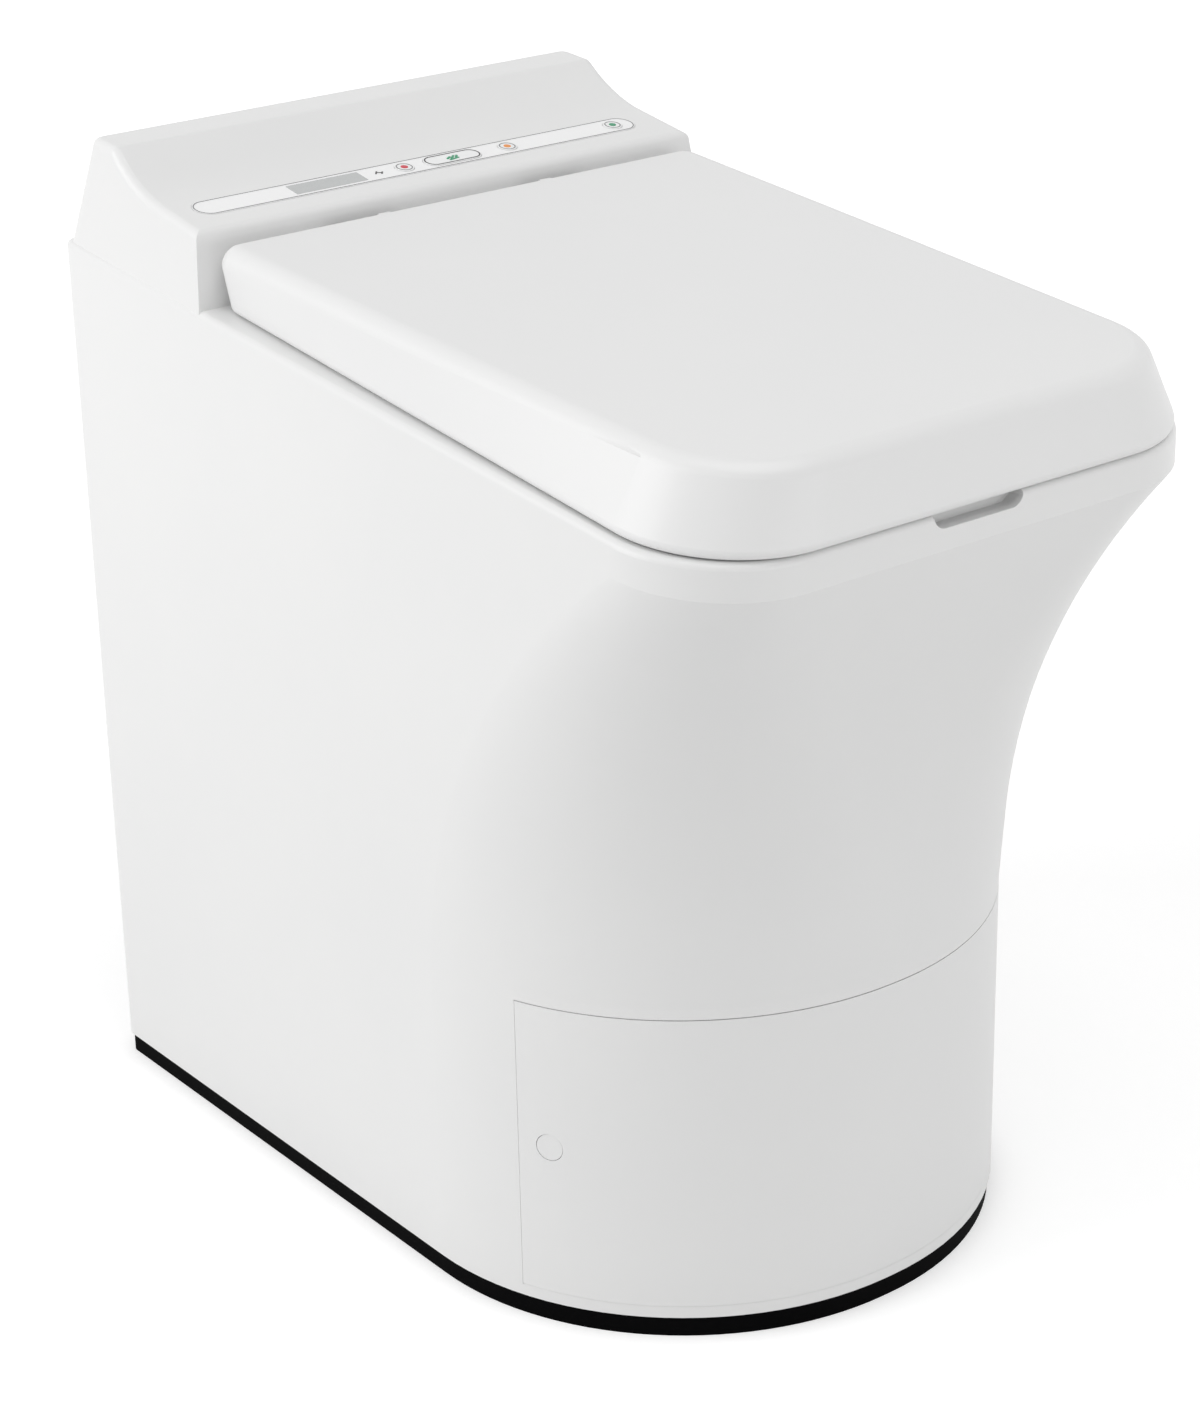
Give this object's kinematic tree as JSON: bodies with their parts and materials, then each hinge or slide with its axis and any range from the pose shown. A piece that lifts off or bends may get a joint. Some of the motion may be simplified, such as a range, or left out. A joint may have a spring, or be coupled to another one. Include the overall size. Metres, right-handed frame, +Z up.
{
  "type": "incinerating toilet",
  "caption": "Free-standing electric incinerating toilet with a hinged lid and seat, bowl flaps over a burning chamber, a front ash hatch and pan, and a rear exhaust spigot.",
  "frame": {"origin": "on the floor, at the middle of the base tray's underside", "axes": "+Z up, front towards -Y, +X to the right seen from behind the front's viewer, left and right as the viewer of the front sees them"},
  "size_m": [0.368, 0.6471, 0.6117],
  "materials": {
    "casing_white": "smooth",
    "lid_white": "smooth",
    "base_black": "smooth",
    "seat_white": "polished",
    "rubber_grey": "matte",
    "stainless": "brushed",
    "galvanised": "matte",
    "cast_grey": "rough",
    "insulation": "rough",
    "ceramic_core": "matte",
    "strip_white": "smooth",
    "display_grey": "polished",
    "key_red": "smooth",
    "key_amber": "smooth",
    "key_green": "smooth",
    "key_white": "smooth",
    "board_green": "matte",
    "motor_dark": "matte",
    "element_dark": "matte",
    "gear_cream": "matte"
  },
  "bodies": {
    "cabinet": {"casing": "casing_white", "base_tray": "base_black", "foot_pads": "rubber_grey", "pan_rails": "galvanised", "chamber_shelf": "galvanised", "side_frame_left": "galvanised", "side_frame_right": "galvanised", "combustion_chamber": "stainless", "insulation_jacket": "insulation", "heating_element": "element_dark", "temperature_probe": "stainless", "cover_rails": "galvanised", "bowl": "stainless", "drop_duct": "stainless", "gear_plate": "galvanised", "flap_motor": "motor_dark", "catalyst_housing": "stainless", "catalyst_core": "ceramic_core", "exhaust_spigot": "base_black", "fan_housing": "base_black", "fan_motor": "motor_dark", "rear_panel": "galvanised", "panel_screws": "stainless", "mains_inlet": "base_black", "control_strip": "strip_white", "display_window": "display_grey", "control_board": "board_green", "power_box": "base_black", "lid_switch": "base_black", "hinge_posts": "seat_white", "hinge_pins": "stainless"},
    "seat_ring": {"seat": "seat_white", "seat_bumpers": "rubber_grey"},
    "lid_cover": {"lid": "lid_white", "lid_bumpers": "rubber_grey"},
    "hatch": {"ash_hatch": "casing_white"},
    "catch_left": {"hatch_catch_left": "casing_white"},
    "catch_right": {"hatch_catch_right": "casing_white"},
    "pan": {"ash_pan": "stainless", "pan_handle": "stainless"},
    "cover": {"chamber_cover": "stainless"},
    "flap_l": {"flap_left": "stainless", "flap_shaft_left": "stainless", "sector_gear_left": "gear_cream"},
    "flap_r": {"flap_right": "stainless", "flap_shaft_right": "stainless", "sector_gear_right": "gear_cream"},
    "impeller": {"fan_impeller": "gear_cream"},
    "key_flush": {"flush_key": "key_white"},
    "key_red": {"red_key": "key_red"},
    "key_amber": {"amber_key": "key_amber"},
    "key_green": {"green_key": "key_green"}
  },
  "joints": [
    {"name": "seat_hinge", "type": "hinge", "parent": "cabinet", "child": "seat_ring", "pos_m": [0, 0.10525, 0.55923], "axis": [1, 0, 0], "range_deg": [-95, 0]},
    {"name": "lid_hinge", "type": "hinge", "parent": "seat_ring", "child": "lid_cover", "pos_m": [0, 0.10525, 0.55923], "axis": [-1, 0, 0], "range_deg": [0, 100]},
    {"name": "flap_right_hinge", "type": "hinge", "parent": "cabinet", "child": "flap_r", "pos_m": [0.092, -0.10675, 0.394], "axis": [0, -1, 0], "range_deg": [0, 85]},
    {"name": "flap_left_hinge", "type": "hinge", "parent": "cabinet", "child": "flap_l", "pos_m": [-0.092, -0.10675, 0.394], "axis": [0, -1, 0], "range_deg": [-85, 0]},
    {"name": "hatch_slide", "type": "slide", "parent": "cabinet", "child": "hatch", "axis": [0, -1, 0], "range_m": [0, 0.3]},
    {"name": "catch_left_press", "type": "slide", "parent": "hatch", "child": "catch_left", "axis": [0.8942, 0.4478, 0], "range_m": [0, 0.003], "stiffness_N_per_m": 500},
    {"name": "catch_right_press", "type": "slide", "parent": "hatch", "child": "catch_right", "axis": [-0.8942, 0.4478, 0], "range_m": [0, 0.003], "stiffness_N_per_m": 500},
    {"name": "pan_slide", "type": "slide", "parent": "cabinet", "child": "pan", "axis": [0, -1, 0], "range_m": [0, 0.24]},
    {"name": "cover_slide", "type": "slide", "parent": "cabinet", "child": "cover", "axis": [0, 1, 0], "range_m": [0, 0.2]},
    {"name": "fan_spin", "type": "hinge", "parent": "cabinet", "child": "impeller", "pos_m": [0, 0.19225, 0.083], "axis": [1, 0, 0], "continuous": true},
    {"name": "key_flush_press", "type": "slide", "parent": "cabinet", "child": "key_flush", "axis": [0, 0.1615, -0.9869], "range_m": [0, 0.001], "stiffness_N_per_m": 500},
    {"name": "key_red_press", "type": "slide", "parent": "cabinet", "child": "key_red", "axis": [0, 0.1615, -0.9869], "range_m": [0, 0.001], "stiffness_N_per_m": 500},
    {"name": "key_amber_press", "type": "slide", "parent": "cabinet", "child": "key_amber", "axis": [0, 0.1615, -0.9869], "range_m": [0, 0.001], "stiffness_N_per_m": 500},
    {"name": "key_green_press", "type": "slide", "parent": "cabinet", "child": "key_green", "axis": [0, 0.1615, -0.9869], "range_m": [0, 0.001], "stiffness_N_per_m": 500}
  ],
  "couplings": [
    {"joint": "flap_left_hinge", "follows": "flap_right_hinge", "ratio": -1},
    {"joint": "pan_slide", "follows": "hatch_slide", "ratio": 0.8}
  ]
}
